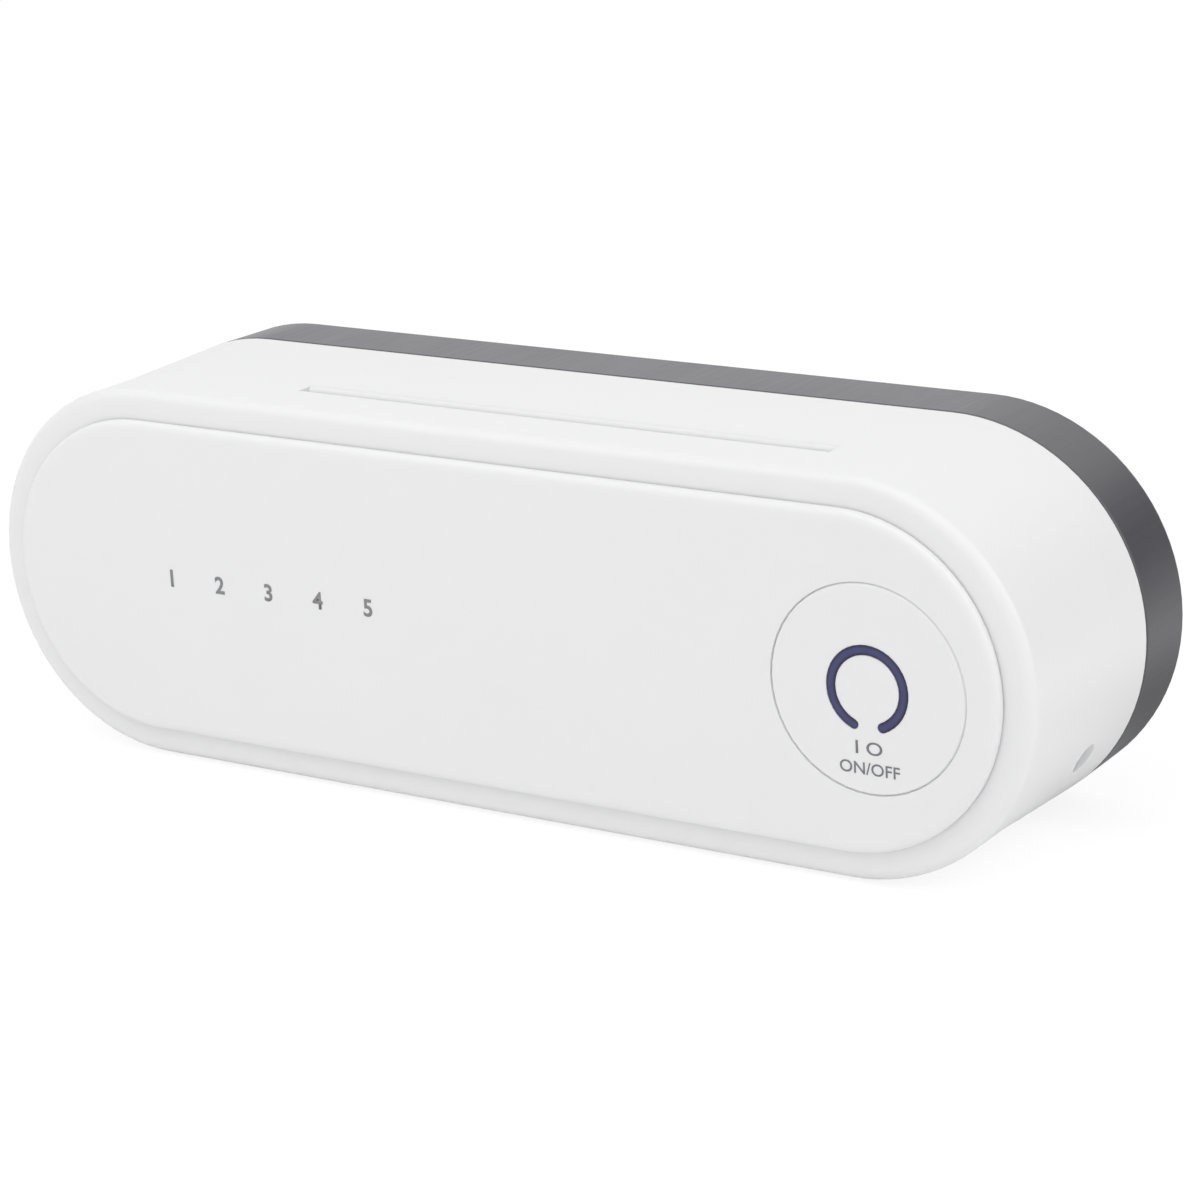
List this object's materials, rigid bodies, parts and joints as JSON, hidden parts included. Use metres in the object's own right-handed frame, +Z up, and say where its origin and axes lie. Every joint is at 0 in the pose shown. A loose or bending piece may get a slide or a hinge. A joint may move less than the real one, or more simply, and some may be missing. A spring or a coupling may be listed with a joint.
{
  "type": "toothbrush drying holder",
  "caption": "Wall-mounted pill-shaped drying holder for toothbrushes with a flap front door, round power button, light ring and top air slot.",
  "frame": {"origin": "centre of the wall face, in the plane of the adhesive pad and the back of the rear case", "axes": "+X to the right along the length, -Y out of the front, +Y toward the wall, +Z up"},
  "size_m": [0.2448, 0.065, 0.08],
  "materials": {
    "white_plastic": "satin",
    "dark_plastic": "satin",
    "inner_plastic": "satin",
    "indigo": "gloss",
    "steel": "bright",
    "black_plastic": "matte",
    "circuit_board": "satin",
    "lamp": "gloss",
    "clear_pane": "clear",
    "foam": "matte",
    "ceramic": "matte",
    "battery_wrap": "gloss"
  },
  "bodies": {
    "housing": {"adhesive_pad": "foam", "air_duct": "black_plastic", "air_heater": "ceramic", "battery_cell": "battery_wrap", "battery_cradle": "black_plastic", "brush_rack": "inner_plastic", "case_screw_1": "steel", "case_screw_2": "steel", "case_screw_3": "steel", "case_screw_4": "steel", "chamber_liner": "inner_plastic", "charge_socket": "inner_plastic", "control_chip": "black_plastic", "fan_frame": "black_plastic", "keeper_plate_left": "steel", "keeper_plate_right": "steel", "lamp_board": "circuit_board", "lamp_window": "clear_pane", "main_board": "circuit_board", "main_shell": "white_plastic", "rack_screw_1": "steel", "rack_screw_2": "steel", "rear_case": "dark_plastic", "uv_lamp_1": "lamp", "uv_lamp_2": "lamp", "uv_lamp_3": "lamp", "uv_lamp_4": "lamp", "uv_lamp_5": "lamp", "vent_baffle": "inner_plastic", "wall_bracket": "inner_plastic"},
    "door": {"button_board": "circuit_board", "button_spring": "steel", "door_back_cover": "inner_plastic", "door_magnet_left": "steel", "door_magnet_right": "steel", "front_door": "white_plastic", "hinge_pin_left": "steel", "hinge_pin_right": "steel", "push_switch": "black_plastic", "status_led_1": "lamp", "status_led_2": "lamp", "status_led_3": "lamp"},
    "button": {"power_button": "white_plastic", "light_ring": "indigo", "switch_plunger": "black_plastic"},
    "fan": {"fan_wheel": "black_plastic"}
  },
  "joints": [
    {"name": "door_hinge", "type": "hinge", "parent": "housing", "child": "door", "pos_m": [0, -0.0607, 0.03575], "axis": [-1, 0, 0], "range_deg": [0, 80]},
    {"name": "button_press", "type": "slide", "parent": "door", "child": "button", "axis": [0, 1, 0], "range_m": [0, 0.0008], "stiffness_N_per_m": 1500, "springref_m": -0.0005, "deforming": ["button_spring"]},
    {"name": "fan_spin", "type": "hinge", "parent": "housing", "child": "fan", "pos_m": [-0.03, -0.0149, 0], "axis": [0, 1, 0], "continuous": true}
  ]
}
